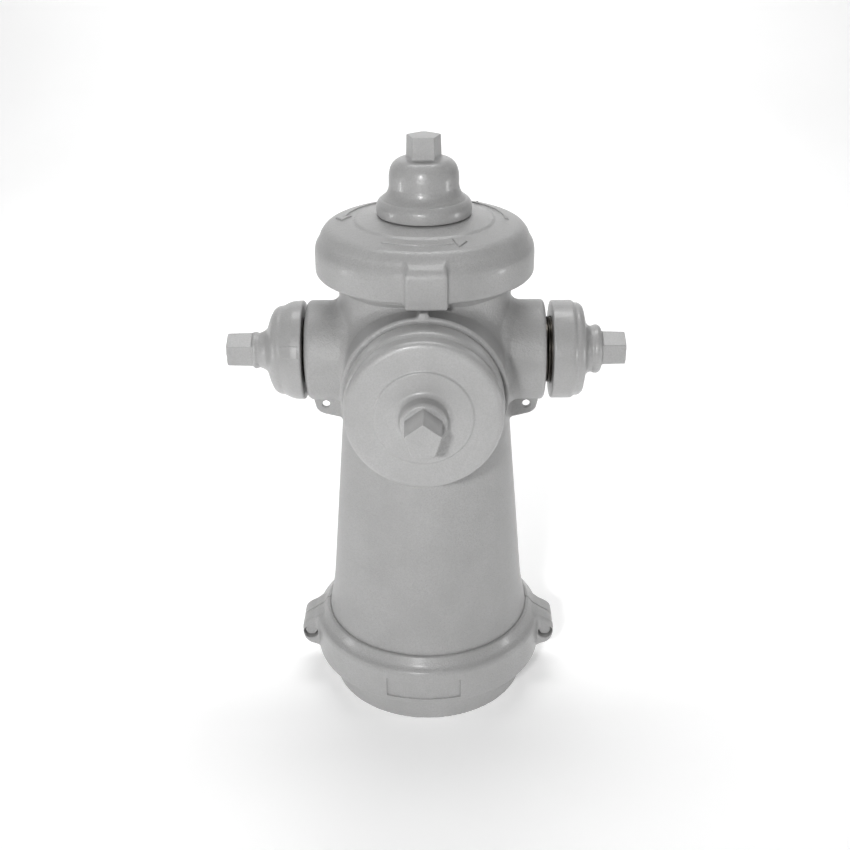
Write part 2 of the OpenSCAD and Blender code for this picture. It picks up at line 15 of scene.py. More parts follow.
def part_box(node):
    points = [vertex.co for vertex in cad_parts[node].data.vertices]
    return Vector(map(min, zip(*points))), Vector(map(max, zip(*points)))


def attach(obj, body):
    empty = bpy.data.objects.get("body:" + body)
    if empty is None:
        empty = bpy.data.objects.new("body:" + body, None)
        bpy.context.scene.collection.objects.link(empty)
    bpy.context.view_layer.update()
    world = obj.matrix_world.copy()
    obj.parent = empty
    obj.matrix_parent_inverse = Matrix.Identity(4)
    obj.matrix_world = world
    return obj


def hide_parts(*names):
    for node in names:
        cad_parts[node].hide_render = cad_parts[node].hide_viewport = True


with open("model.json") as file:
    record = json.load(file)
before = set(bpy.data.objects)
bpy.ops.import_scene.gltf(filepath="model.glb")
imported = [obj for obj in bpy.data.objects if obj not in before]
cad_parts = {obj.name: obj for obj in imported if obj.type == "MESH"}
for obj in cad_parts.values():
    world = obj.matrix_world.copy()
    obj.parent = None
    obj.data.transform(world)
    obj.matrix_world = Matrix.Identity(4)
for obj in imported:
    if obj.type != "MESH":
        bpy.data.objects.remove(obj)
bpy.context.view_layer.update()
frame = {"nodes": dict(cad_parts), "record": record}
MM = 0.001


def box_mm(node):
    """Lowest and highest corner of a CAD node, in millimetres."""
    low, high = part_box(node)
    return np.array(low) / MM, np.array(high) / MM


# ---- places read from the frame --------------------------------------------------------------
barrel_low, barrel_high = box_mm("nozzle_barrel")
clamp_low, clamp_high = box_mm("clamp_half_front")
bonnet_low, bonnet_high = box_mm("bonnet")
nut_low, nut_high = box_mm("operating_nut")
nozzle_low, nozzle_high = box_mm("hose_nozzle_right")
pumper_low, pumper_high = box_mm("pumper_nozzle")

OUTLET_Z = (nozzle_low[2] + nozzle_high[2]) / 2
BARREL_Z0 = barrel_low[2]
BARREL_Z1 = barrel_high[2]
HOSE_FACE = barrel_high[0]
PUMPER_FACE = -barrel_low[1]
HOSE_END = nozzle_high[0]
PUMPER_END = -pumper_low[1]
CLAMP_Z0 = clamp_low[2]
CLAMP_Z1 = clamp_high[2]
EAR_X = clamp_high[0]
RIM_Z = bonnet_low[2] + 3
BONNET_TOP = bonnet_high[2]
NUT_TOP = nut_high[2]
DOME_Z = BONNET_TOP + 1


# ---- distance-field tools --------------------------------------------------------------------
def join(a, b, r):
    """Union of two solids with a round inside fillet of radius r."""
    u, v = np.maximum(r - a, 0), np.maximum(r - b, 0)
    return np.maximum(r, np.minimum(a, b)) - np.sqrt(u * u + v * v)


def meet(a, b, r):
    """Intersection of two solids with a round outside edge of radius r."""
    u, v = np.maximum(r + a, 0), np.maximum(r + b, 0)
    return np.minimum(-r, np.maximum(a, b)) + np.sqrt(u * u + v * v)


def carve(a, b, r):
    """Solid a less solid b, with a round edge of radius r where the cut meets the surface."""
    return meet(a, -b, r)


def soften(points, reach):
    """The closed outline with each corner replaced by a short curve.

    reach is how far from the corner the curve starts, and a third number on a point is its own reach.
    """
    out = []
    for i, point in enumerate(points):
        here = np.array(point[:2], float)
        before = np.array(points[i - 1][:2], float)
        after = np.array(points[(i + 1) % len(points)][:2], float)
        own = point[2] if len(point) > 2 else reach
        back, ahead = before - here, after - here
        cut = min(own, 0.45 * np.linalg.norm(back), 0.45 * np.linalg.norm(ahead))
        if here[0] == 0 or cut < 0.05:
            out.append(tuple(here))
            continue
        start = here + back / np.linalg.norm(back) * cut
        end = here + ahead / np.linalg.norm(ahead) * cut
        for t in np.linspace(0, 1, 5):
            out.append(tuple((1 - t) ** 2 * start + 2 * t * (1 - t) * here + t ** 2 * end))
    return out


class Outline:
    """Signed distance to a closed outline in a plane, looked up in a fine table made once.

    Sides on u = 0 are the axis of a turned piece and don't count.
    """
    STEP = 0.4
    MARGIN = 16

    def __init__(self, points):
        corners = np.array([point[:2] for point in points], float)
        self.low = corners.min(0) - self.MARGIN
        self.low[0] = max(self.low[0], 0)
        self.count = np.ceil((corners.max(0) + self.MARGIN - self.low) / self.STEP).astype(int) + 1
        rows = [self.low[a] + np.arange(self.count[a]) * self.STEP for a in (0, 1)]
        u, v = np.meshgrid(*rows, indexing="ij")
        nearest = np.full(u.shape, 1e9)
        inside = np.zeros(u.shape, bool)
        for (u0, v0), (u1, v1) in zip(corners, np.roll(corners, -1, 0)):
            du, dv = u1 - u0, v1 - v0
            if not (u0 == 0 and u1 == 0):
                t = np.clip(((u - u0) * du + (v - v0) * dv) / (du * du + dv * dv), 0, 1)
                nearest = np.minimum(nearest, (u - u0 - t * du) ** 2 + (v - v0 - t * dv) ** 2)
            if dv:
                inside ^= ((v0 > v) != (v1 > v)) & (u < du * (v - v0) / dv + u0)
        self.table = (np.where(inside, -1, 1) * np.sqrt(nearest)).ravel()

    def __call__(self, u, v):
        a = (u - self.low[0]) / self.STEP
        b = (v - self.low[1]) / self.STEP
        ca, cb = np.clip(a, 0, self.count[0] - 1.001), np.clip(b, 0, self.count[1] - 1.001)
        beyond = np.hypot(a - ca, b - cb) * self.STEP
        i, j = ca.astype(np.int32), cb.astype(np.int32)
        ta, tb = ca - i, cb - j
        at = i * self.count[1] + j
        near = self.table[at] * (1 - tb) + self.table[at + 1] * tb
        far = self.table[at + self.count[1]] * (1 - tb) + self.table[at + self.count[1] + 1] * tb
        return near * (1 - ta) + far * ta + beyond


def block(x, y, z, low, high, r):
    """Box between two corners with edges of radius r."""
    q = [np.abs(c - (l + h) / 2) - (h - l) / 2 + r for c, l, h in zip((x, y, z), low, high)]
    outside = np.sqrt(sum(np.maximum(c, 0) ** 2 for c in q))
    return outside + np.minimum(np.maximum(np.maximum(q[0], q[1]), q[2]), 0) - r


# corner radius of every five-sided nut at its base and at its tip: 38.1 mm from point to flat
NUT_BASE_R, NUT_TIP_R = 21.06, 20.2


def five_sided(u, v, s, base, tip, corner_at):
    """Five-sided nut that tapers from base to tip along s, with a rounded-off crown."""
    taper = (NUT_BASE_R - NUT_TIP_R) / (tip - base)
    d = None
    for i in range(5):
        a = math.radians(corner_at + 36 + 72 * i)
        flat = NUT_BASE_R * math.cos(math.radians(36)) - taper * (s - base) * 0.81
        side = u * math.cos(a) + v * math.sin(a) - flat
        d = side if d is None else meet(d, side, 0.9)
    d = np.maximum(d, base - 3 - s)
    crown = (s - tip + 0.42 * (np.hypot(u, v) - NUT_TIP_R + 1.2)) * 0.92
    return meet(meet(d, s - tip, 0.5), crown, 0.8)


# ---- mesh tools ------------------------------------------------------------------------------
CORNERS = np.array([(i, j, k) for i in (0, 1) for j in (0, 1) for k in (0, 1)])
EDGES = [(a, b) for a in range(8) for b in range(a + 1, 8) if np.abs(CORNERS[a] - CORNERS[b]).sum() == 1]
TETRAHEDRON = np.array([(1, -1, -1), (-1, -1, 1), (-1, 1, -1), (1, 1, 1)])
BLOCK = 8


def sample(field, low, high, step):
    """Field values on a grid, worked out in full only in the blocks near the surface."""
    low = np.array(low, float) - 2 * step
    blocks = np.ceil((np.array(high, float) + 2 * step - low) / (step * BLOCK)).astype(int)
    centres = [low[a] + (np.arange(blocks[a]) + 0.5) * BLOCK * step - step / 2 for a in range(3)]
    coarse = field(*np.meshgrid(*centres, indexing="ij"))
    grid = np.broadcast_to(coarse[:, None, :, None, :, None],
                           (blocks[0], BLOCK, blocks[1], BLOCK, blocks[2], BLOCK)).astype(np.float32)
    near = np.argwhere(np.abs(coarse) < 9 * step)
    inner = np.arange(BLOCK) * step
    for part in np.array_split(near, max(1, len(near) // 1500)):
        start = low + part * BLOCK * step
        x = start[:, 0, None, None, None] + inner[:, None, None]
        y = start[:, 1, None, None, None] + inner[:, None]
        z = start[:, 2, None, None, None] + inner
        x, y, z = np.broadcast_arrays(x, y, z)
        grid[part[:, 0], :, part[:, 1], :, part[:, 2], :] = field(x, y, z)
    return low, grid.reshape(blocks * BLOCK)


def surface_net(grid, low, step):
    """Vertices and quads of the zero surface, one vertex for each grid cell that it crosses."""
    inside = grid < 0
    nx, ny, nz = (n - 1 for n in inside.shape)
    count = sum(inside[i:nx + i, j:ny + j, k:nz + k].astype(np.int8) for i, j, k in CORNERS)
    active = (count > 0) & (count < 8)
    cells = np.argwhere(active)
    number = np.full(active.shape, -1, np.int32)
    number[active] = np.arange(len(cells))
    value = np.stack([grid[tuple((cells + c).T)] for c in CORNERS], 1)
    total, hits = np.zeros((len(cells), 3)), np.zeros(len(cells))
    for a, b in EDGES:
        crossed = (value[:, a] < 0) != (value[:, b] < 0)
        t = value[crossed, a] / (value[crossed, a] - value[crossed, b])
        total[crossed] += CORNERS[a] + t[:, None] * (CORNERS[b] - CORNERS[a])
        hits[crossed] += 1
    vertices = low + (cells + total / hits[:, None]) * step
    quads = []
    for a in range(3):
        b, c = (a + 1) % 3, (a + 2) % 3
        ahead = np.roll(inside, -1, a)
        crossed = inside != ahead
        crossed[tuple(slice(-1, None) if i == a else slice(None) for i in range(3))] = False
        g = np.argwhere(crossed)
        eb, ec = np.eye(3, dtype=int)[b], np.eye(3, dtype=int)[c]
        quad = np.stack([number[tuple((g - s).T)] for s in (0 * eb, eb, eb + ec, ec)], 1)
        flip = ~inside[tuple(g.T)]
        quad[flip] = quad[flip, ::-1]
        quads.append(quad)
    return vertices, np.concatenate(quads)


def normals_of(field, points):
    """Outward unit normals of a field at the points."""
    reach = 0.15
    total = np.zeros(points.shape)
    for k in TETRAHEDRON:
        total += k * field(*(points + reach * k).T)[:, None]
    return total / np.maximum(np.linalg.norm(total, axis=1), 1e-9)[:, None]


def settle(field, points, step):
    """The points moved onto the field's zero surface, with the normals there."""
    for _ in range(3):
        normal = normals_of(field, points)
        points = points - np.clip(field(*points.T), -step, step)[:, None] * normal
    return points, normals_of(field, points)


def make_object(name, vertices, faces):
    """Object from vertices in millimetres and an array of quads or triangles."""
    mesh = bpy.data.meshes.new(name)
    sides = faces.shape[1]
    mesh.vertices.add(len(vertices))
    mesh.vertices.foreach_set("co", (vertices * MM).astype(np.float32).ravel())
    mesh.loops.add(faces.size)
    mesh.loops.foreach_set("vertex_index", faces.astype(np.int32).ravel())
    mesh.polygons.add(len(faces))
    mesh.polygons.foreach_set("loop_start", np.arange(0, faces.size, sides, dtype=np.int32))
    mesh.update(calc_edges=True)
    mesh.shade_smooth()
    obj = bpy.data.objects.new(name, mesh)
    bpy.context.collection.objects.link(obj)
    return obj


def thin_out(obj, keep):
    """Fewer faces where the surface is flat."""
    modifier = obj.modifiers.new("thin out", "DECIMATE")
    modifier.ratio = keep
    evaluated = obj.evaluated_get(bpy.context.evaluated_depsgraph_get())
    mesh = bpy.data.meshes.new_from_object(evaluated)
    obj.modifiers.clear()
    old, obj.data = obj.data, mesh
    mesh.name = old.name
    bpy.data.meshes.remove(old)


def cast(name, field, low, high, step, faces=90000):
    """A casting: the field as a mesh of about that many triangles, shaded with the field's own normals."""
    start, grid = sample(field, low, high, step)
    vertices, quads = surface_net(grid, start, step)
    vertices, _ = settle(field, vertices, step)
    obj = make_object(name, vertices, quads)
    if 2 * len(quads) > faces:
        thin_out(obj, faces / (2 * len(quads)))
    points = np.empty(len(obj.data.vertices) * 3, np.float32)
    obj.data.vertices.foreach_get("co", points)
    points, normals = settle(field, points.reshape(-1, 3).astype(float) / MM, step)
    obj.data.vertices.foreach_set("co", (points * MM).astype(np.float32).ravel())
    obj.data.update()
    obj.data.shade_smooth()
    obj.data.normals_split_custom_set_from_vertices(normals)
    return obj


def turned(name, axis_place, sections, wave=None, around=160):
    """Turned ring from a closed outline of (distance along the axis, radius).

    wave(distance, radius, angle) is added to the radius, which cuts the threads.
    """
    s = np.array([p[0] for p in sections])
    r = np.array([p[1] for p in sections])
    angle = np.arange(around) * 2 * math.pi / around
    radius = np.broadcast_to(r[:, None], (len(s), around)).copy()
    if wave:
        radius += wave(s[:, None], r[:, None], angle[None, :])
    points = np.stack([radius * np.cos(angle), radius * np.sin(angle),
                       np.broadcast_to(s[:, None], radius.shape)], -1).reshape(-1, 3)
    i, j = np.meshgrid(np.arange(len(s)), np.arange(around), indexing="ij")
    i2, j2 = (i + 1) % len(s), (j + 1) % around
    faces = np.stack([i * around + j, i * around + j2, i2 * around + j2, i2 * around + j], -1).reshape(-1, 4)
    place = np.array(axis_place)
    obj = make_object(name, points @ place[:3, :3].T + place[:3, 3], faces)
    obj.data.set_sharp_from_angle(angle=math.radians(40))
    return obj


# ---- the castings ----------------------------------------------------------------------------
BARREL_OUTSIDE = Outline(soften([
    (0, BARREL_Z0, 0), (134, BARREL_Z0, 1), (134, BARREL_Z0 + 17, 1), (129, BARREL_Z0 + 17, 0.6),
    (128, BARREL_Z0 + 18.5, 0.5), (127.5, BARREL_Z0 + 26, 4), (124, BARREL_Z0 + 42, 10),
    (120, BARREL_Z0 + 66, 14), (99.4, OUTLET_Z - 64, 30), (99.4, BARREL_Z1, 0), (0, BARREL_Z1, 0)], 2))
BARREL_SPIGOT = Outline([(0, 538), (99.4, 538), (108, 546), (108, BARREL_Z1), (0, BARREL_Z1)])
BARREL_INSIDE = Outline([
    (0, BARREL_Z0 - 5), (108.7, BARREL_Z0 - 5), (108.7, CLAMP_Z1 + 10), (88, OUTLET_Z - 64),
    (88, BARREL_Z1 + 5), (0, BARREL_Z1 + 5)])
EYE_X, EYE_Z, EYE_R = 121, OUTLET_Z - 70, 4.7
EYE_PLATE = Outline(soften([(137.8, OUTLET_Z - 46, 0), (137.8, OUTLET_Z - 54, 3)] + [
    (EYE_X + 13 * math.cos(math.radians(a)), EYE_Z + 13 * math.sin(math.radians(a)), 1)
    for a in (0, -25, -50, -75)] + [(102.4, EYE_Z - 18, 3), (93, EYE_Z - 18, 0), (93, OUTLET_Z - 46, 0)], 1))
INSERT_R = 37
PUMPER_INSERT_R = 71


def barrel_field(x, y, z):
    """The upper barrel: three outlet bosses, chain eyes, the rib over the pumper boss, and its bores."""
    r, side, up = np.hypot(x, y), np.abs(x), z - OUTLET_Z
    hose_r, pumper_r = np.hypot(y, up), np.hypot(x, up)
    d = BARREL_OUTSIDE(r, z)
    hose = np.maximum(meet(hose_r - 59, side - HOSE_FACE, np.where(x < 0, 7, 4.5)), -side)
    pumper = np.maximum(meet(pumper_r - 90.4, -y - PUMPER_FACE, 2.2), y)
    lip = np.hypot(pumper_r - 89, y + PUMPER_FACE - 3) - 2.9
    pumper = join(pumper, lip, 2)
    d = join(join(d, hose, 13), pumper, 11)
    plate = meet(EYE_PLATE(side, z), np.abs(y) - 3, 1.2)
    d = join(d, plate, 4)
    rib = block(x, y, z, (-5, -PUMPER_FACE + 1, OUTLET_Z + 85), (5, -109.5, OUTLET_Z + 96), 2)
    d = join(d, rib, 4)
    d = np.minimum(d, BARREL_SPIGOT(r, z))
    bores = np.minimum(BARREL_INSIDE(r, z), np.maximum(hose_r - INSERT_R, 60 - side))
    bores = np.minimum(bores, np.maximum(pumper_r - PUMPER_INSERT_R, 40 + y))
    d = carve(d, bores, 0.6)
    screws = np.maximum(np.hypot(side - 116, up) - 4, np.abs(y - INSERT_R - 17) - 19)
    pumper_screw = np.maximum(np.hypot(x, y + 112) - 4, np.abs(up + PUMPER_INSERT_R + 17) - 19)
    screws = np.minimum(screws, pumper_screw)
    eyes = np.maximum(np.hypot(side - EYE_X, z - EYE_Z) - EYE_R, np.abs(y) - 12)
    return carve(d, np.minimum(screws, eyes), 0.8)


BONNET_OUTSIDE = Outline(soften([
    (0, RIM_Z, 0), (125, RIM_Z, 4.5), (125, RIM_Z + 25.5, 8), (123.8, RIM_Z + 32.5, 3),
    (119, RIM_Z + 40.5, 6), (117.5, RIM_Z + 45, 5), (113, RIM_Z + 51, 5), (107.5, RIM_Z + 54, 4),
    (80.4, BONNET_TOP - 6.1, 1.6),
    (77.4, BONNET_TOP - 4.2, 1.6), (54, BONNET_TOP, 2), (0, BONNET_TOP, 0)], 3))
RESERVOIR = Outline(soften([
    (44, 583), (90, 583), (92, 589), (101, 592), (101, 596), (76, 600.5), (52, 604), (44, 604)], 1))
PLUG = Vector((55, 77.5, 604))


def arrow_mark(x, y):
    """Plan of three curved arrows on the crown, pointing the way that opens the valve."""
    third = math.radians(120)
    along = (np.arctan2(y, x) + math.radians(150)) % third - third / 2
    arc, across = along * 93, np.hypot(x, y) - 93
    band = meet(np.abs(across) - 2.2, np.abs(arc + 6) - 40, 0.8)
    head = np.maximum(np.abs(across) * 0.82 + (arc - 49) * 0.57, 35 - arc)
    return np.minimum(band, head)


def bonnet_field(x, y, z):
    """The bonnet: crown with arrows, square lug on the rim, socket, oil reservoir and plug hole."""
    r = np.hypot(x, y)
    d = BONNET_OUTSIDE(r, z)
    d = join(d, meet(np.maximum(arrow_mark(x, y), 590 - z), d - 1.7, 0.7), 0.7)
    lug = block(x, y, z, (-19.5, bonnet_low[1], bonnet_low[2]), (25.5, -105, bonnet_low[2] + 50), 3.0)
    slope = ((z - (RIM_Z + 42)) - 0.5 * (y + 125)) * 0.89
    d = join(d, meet(lug, slope, 6), 4)
    socket = np.maximum(r - 108.05, z - 574.2)
    socket = np.minimum(socket, np.maximum(r - 100.2, z - 584))
    hollow = np.minimum(RESERVOIR(r, z), np.maximum(r - 36, 588.3 - z))
    hollow = np.minimum(np.minimum(socket, hollow), r - 24.56)
    plug_hole = np.maximum(np.hypot(x - PLUG[0], y - PLUG[1]) - 6.05, PLUG[2] - 12 - z)
    hollow = np.minimum(hollow, plug_hole)
    return carve(d, hollow, 0.5)


DOME = Outline(soften([
    (0, DOME_Z, 0), (53.3, DOME_Z, 0.8), (53.9, DOME_Z + 5, 3), (53.6, DOME_Z + 11, 3),
    (52, DOME_Z + 14.6, 2.2), (49, DOME_Z + 17.4, 1.2), (47.2, DOME_Z + 17.8, 0.7),
    (46.4, DOME_Z + 19.2, 0.9), (43.2, DOME_Z + 21.8, 2.4), (40.9, DOME_Z + 25.6, 4), (39.3, DOME_Z + 31, 6),
    (39.3, DOME_Z + 45, 10), (36.5, DOME_Z + 55, 7), (29, DOME_Z + 61.4, 6), (0, DOME_Z + 63.2, 0)], 3))


def operating_nut_field(x, y, z):
    """The operating nut: flanged dome, five-sided top, and the hub and bores inside it."""
    r = np.hypot(x, y)
    d = DOME(r, z)
    nut = five_sided(x, y, z, DOME_Z + 60, NUT_TOP, 90)
    d = join(d, nut, 2.4)
    hub = np.maximum(r - 24.5, np.maximum(586 - z, z - 646))
    d = np.minimum(d, np.minimum(hub, np.maximum(r - 33, np.abs(z - 594.1) - 3.9)))
    room = np.maximum(np.minimum(np.maximum(r - 46.5, z - 629.5), np.maximum(r - 33.5, z - 661)), 24.5 - r)
    room = np.maximum(room, 600 - z)
    bore = np.minimum(np.maximum(r - 21.5, z - 599), np.maximum(r - 20, z - 640))
    bore = np.minimum(bore, np.maximum(r - 15.62, z - 672))
    return np.maximum(np.maximum(d, -room), -bore)


LEFT_CAP = Outline(soften([
    (0, 0, 0), (57, 0, 0.8), (58.6, 1.5, 1), (58, 12, 3), (56.3, 17.6, 2), (53.4, 23.2, 1.2),
    (52.6, 25, 0.8), (52.2, 29.5, 3), (49, 35, 3), (41.7, 38.9, 3), (33, 42, 4), (25.9, 44.4, 3),
    (22.6, 49, 3), (20.2, 54.5, 1.5), (21.7, 57.5, 1.2), (21.9, 60, 1), (20.5, 61.7, 0.6), (0, 61.7, 0)], 2))
RIGHT_CAP = Outline(soften([
    (0, 0, 0), (56.6, 0, 0.8), (57.8, 1.2, 1), (57.8, 24, 1.6), (55.4, 26.8, 0.8), (54.8, 28, 0.6),
    (54.6, 32, 2.5), (51.5, 36.6, 3), (40, 39.2, 3), (31.6, 41.2, 3), (27.6, 45.2, 2), (27, 48, 1),
    (28.6, 51.5, 1.4), (28.8, 55, 1.4), (26.5, 58.4, 1.2), (21.5, 60.2, 0.6), (0, 60.2, 0)], 2))


def hose_cap_field(profile, sign, rim, length, corner_at, pad):
    """Field of a hose cap on the X axis. The profile starts at the rim, and pad adds a raised side pad."""
    def field(x, y, z):
        s, up = sign * x - rim, z - OUTLET_Z
        r = np.hypot(up, y)
        d = profile(r, s)
        if pad:
            front = np.arctan2(up, -y) - math.radians(19)
            plate = np.maximum(np.abs(front * 58) - 7, np.abs(s - 14) - 10.5)
            d = join(d, meet(plate, d - 0.7, 0.4), 0.6)
        nut = five_sided(-sign * up, y, s, length - 30.5, length, corner_at)
        d = join(d, nut, 1.6)
        bore = np.minimum(r - 39.25, r - 41.25 + s)
        return carve(d, np.maximum(bore, s - 27), 0.5)
    return field


PUMPER_CAP = Outline(soften([
    (0, 139, 0), (85.2, 139, 0.8), (86.5, 140.3, 1), (86.5, 161, 2), (85.4, 164.6, 1.5), (83, 167, 1.2),
    (83.1, 168.4, 1), (84.6, 170, 1), (84.6, 183.5, 4), (82.5, 187.6, 2.5), (78.6, 189, 2.5),
    (53.6, 189, 0.8), (52.0, 190.8, 0.7), (30, 190.8, 2.5), (26.4, 194, 2), (25.4, 206, 2.2),
    (22.5, 209, 1.5), (0, 209, 0)], 1.5))
PUMPER_SEAT = PUMPER_END + 4.2
PUMPER_NUT_BASE, PUMPER_NUT_TIP = 207.5, 246


def pumper_cap_field(x, y, z):
    """The pumper cap: its outline turned about the -Y axis, with the nut on the front."""
    s, up = -y, z - OUTLET_Z
    r = np.hypot(x, up)
    d = PUMPER_CAP(r, s)
    nut = five_sided(x, up, s, PUMPER_NUT_BASE, PUMPER_NUT_TIP, 90)
    d = join(d, nut, 1.6)
    return carve(d, np.maximum(r - 73.45, s - PUMPER_SEAT), 0.6)


# groove inside the clamp that grips the beads of the two barrel ends
GROOVE_R, GROOVE_Z0, GROOVE_Z1 = 134.4, 54.6, 92.4
CLAMP_RING = Outline(soften([
    (123.2, CLAMP_Z0, 0.5), (145, CLAMP_Z0, 4), (145, CLAMP_Z0 + 41.5, 2.5), (143.3, CLAMP_Z0 + 45.4, 2),
    (138, CLAMP_Z0 + 49.8, 2.5), (131.6, CLAMP_Z1 - 0.2, 1.6), (129, CLAMP_Z1 + 0.6, 1),
    (127.3, CLAMP_Z1 - 0.2, 0.5), (127.9, CLAMP_Z1 - 5, 0.5), (129.6, GROOVE_Z1, 0.3),
    (GROOVE_R, GROOVE_Z1, 0), (GROOVE_R, GROOVE_Z0, 0), (123.2, GROOVE_Z0, 0)], 2))
EAR = Outline(soften([
    (EAR_X - 27, CLAMP_Z0 + 0.2, 0), (149, CLAMP_Z0 + 0.2, 4), (157, CLAMP_Z0 + 3.6, 4),
    (162, CLAMP_Z0 + 9.6, 4), (EAR_X, CLAMP_Z0 + 17, 4), (EAR_X, CLAMP_Z0 + 29, 4),
    (162, CLAMP_Z0 + 34.4, 4), (156, CLAMP_Z0 + 39.4, 4), (147, CLAMP_Z0 + 44, 4),
    (EAR_X - 27, CLAMP_Z0 + 47.5, 0)], 3))
EAR_DEPTH = 25
BOLT_X, BOLT_Z = 153.5, CLAMP_Z0 + 21


def clamp_field(side):
    """Field of the front (side -1) or rear (side 1) half of the ground clamp, with its ears."""
    def field(x, y, z):
        v, flank = side * y, np.abs(x)
        r = np.hypot(x, y)
        ring = CLAMP_RING(r, z)
        ear = meet(EAR(flank, z), np.abs(v) - EAR_DEPTH, 5)
        ear = np.maximum(ear, GROOVE_R - r)
        d = join(ring, ear, 6)
        groove = np.where((z > GROOVE_Z0) & (z < GROOVE_Z1), GROOVE_R - r, -9)
        d = np.maximum(d, np.maximum(123.2 - r, groove))
        if side < 0:
            along = np.arctan2(x, -y) * 145 + 4.7
            panel = np.maximum(np.maximum(np.abs(along) - 46, np.abs(z - 60.5) - 12.5), -2 - ring)
            d = carve(d, panel, 0.6)
        d = meet(d, 1 - v, 1.0)
        hole = np.hypot(flank - BOLT_X, z - BOLT_Z)
        holes = np.minimum(hole - 5.16, np.maximum(hole - 9.3, 13 - v))
        return carve(d, holes, 1.0)
    return field


STUB = Outline(soften([
    (0, 0, 0), (122.7, 0, 1.6), (122.7, CLAMP_Z0, 0.3), (122.1, CLAMP_Z0, 0), (122.1, 55, 0),
    (134, 55, 1), (134, 72, 1), (0, 72, 0)], 1))


def stub_field(x, y, z):
    """The end of the lower barrel, with the bead that the clamp grips."""
    r = np.hypot(x, y)
    return carve(STUB(r, z), r - 107.7, 1.0)


def bolt_head_field(x, y, z):
    """The two clamp bolts, with chamfered hexagon heads."""
    flank = np.abs(x) - BOLT_X
    up = z - BOLT_Z
    r = np.hypot(flank, up)
    hexagon = np.maximum.reduce([np.abs(flank * math.cos(a) + up * math.sin(a)) - 7.14
                                 for a in np.radians((90, 30, 150))])
    head = meet(hexagon, np.abs(y + 16) - 3, 0.4)
    head = meet(head, (r - 7.4 - 1.7 * (y + 19)) * 0.5, 0.4)
    shank = meet(r - 4.76, np.abs(y - (EAR_DEPTH - 13) / 2) - (EAR_DEPTH + 13) / 2, 0.6)
    return join(head, shank, 0.4)


def clamp_nut_field(x, y, z):
    """The two clamp nuts."""
    flank = np.abs(x) - BOLT_X
    up = z - BOLT_Z
    r = np.hypot(flank, up)
    hexagon = np.maximum.reduce([np.abs(flank * math.cos(a) + up * math.sin(a)) - 7.14
                                 for a in np.radians((90, 30, 150))])
    nut = meet(hexagon, np.abs(y - 15.75) - 2.75, 0.4)
    nut = meet(nut, (r - 7.4 + 1.7 * (y - 18.5)) * 0.5, 0.4)
    return np.maximum(nut, 4.8 - r)


# ---- threads ---------------------------------------------------------------------------------
def thread_wave(start, end, pitch, depth, top_r):
    """Thread cut inwards from top_r, right-handed about the outward axis."""
    def wave(s, r, angle):
        phase = (s / pitch - angle / (2 * math.pi)) % 1.0
        notch = np.clip(1.55 - np.abs(phase - 0.5) * 5.4, 0, 1)
        fade = np.clip((s - start) / (0.7 * pitch), 0, 1) * np.clip((end - s) / (0.35 * pitch), 0, 1)
        return np.where(np.abs(r - top_r) < 0.02, -depth * notch * fade, 0)
    return wave


def nozzle_sections(bore, body, thread, inner, face, end, pitch):
    """Outline of a threaded nozzle from its inner end, round the outside and back along the bore."""
    start = face + 4.5
    rows = np.arange(start, end - 1.5, pitch / 12)
    outside = [(inner, body - 0.6), (inner + 0.6, body), (face - 0.2, body), (face - 0.2, body - 0.7),
               (face + 2.4, body - 0.7), (face + 3, body - 0.7)] + [(s, thread) for s in rows]
    tip = [(end - 1.5, thread), (end - 0.7, thread - 0.8), (end, thread - 1.6), (end, bore + 1.6),
           (end - 0.8, bore + 0.4), (end - 2, bore)]
    inside = [(inner + 30, bore), (inner + 8, bore), (inner, bore + 4)]
    return outside + tip + inside, start


def nozzle(name, place, bore, body, thread, inner, face, end, pitch, depth):
    """Threaded nozzle from bore, body and thread radii and distances along its axis."""
    sections, start = nozzle_sections(bore, body, thread, inner, face, end, pitch)
    return turned(name, place, sections, thread_wave(start, end, pitch, depth, thread), 192)


def hose_nozzle(name, place):
    return nozzle(name, place, 31.75, INSERT_R, 38.95, nozzle_low[0], HOSE_FACE, HOSE_END, HOSE_PITCH, 1.75)


def pumper_nozzle(name, place):
    return nozzle(name, place, 57.15, PUMPER_INSERT_R, 73.15, -pumper_high[1], PUMPER_FACE, PUMPER_END,
                  PUMPER_PITCH, 3.1)


def outlet_place(direction):
    """Axes of an outlet: its third axis points outwards along direction, from the hydrant's axis."""
    out = Vector(direction)
    across = Vector((0, 0, 1)).cross(out)
    place = Matrix((across, out.cross(across), out)).transposed().to_4x4()
    place.translation = (0, 0, OUTLET_Z)
    return place


LEFT, RIGHT, FRONT = outlet_place((-1, 0, 0)), outlet_place((1, 0, 0)), outlet_place((0, -1, 0))
HOSE_PITCH, PUMPER_PITCH = 25.4 / 7.5, 25.4 / 4


# ---- build -----------------------------------------------------------------------------------
ROOT = "barrel_assembly"
left_cap_low, left_cap_high = box_mm("hose_cap_left")
right_cap_low, right_cap_high = box_mm("hose_cap_right")
LEFT_RIM, LEFT_LENGTH = -left_cap_high[0], left_cap_high[0] - left_cap_low[0]
RIGHT_RIM, RIGHT_LENGTH = right_cap_low[0], right_cap_high[0] - right_cap_low[0]


def add(obj, body, slot, *nodes):
    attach(obj, body)
    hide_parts(*nodes)
    return obj


def cast_node(name, node, field, body, step, faces, room=2.0):
    low, high = box_mm(node)
    return add(cast(name, field, low - room, high + room, step, faces), body, "paint", node)


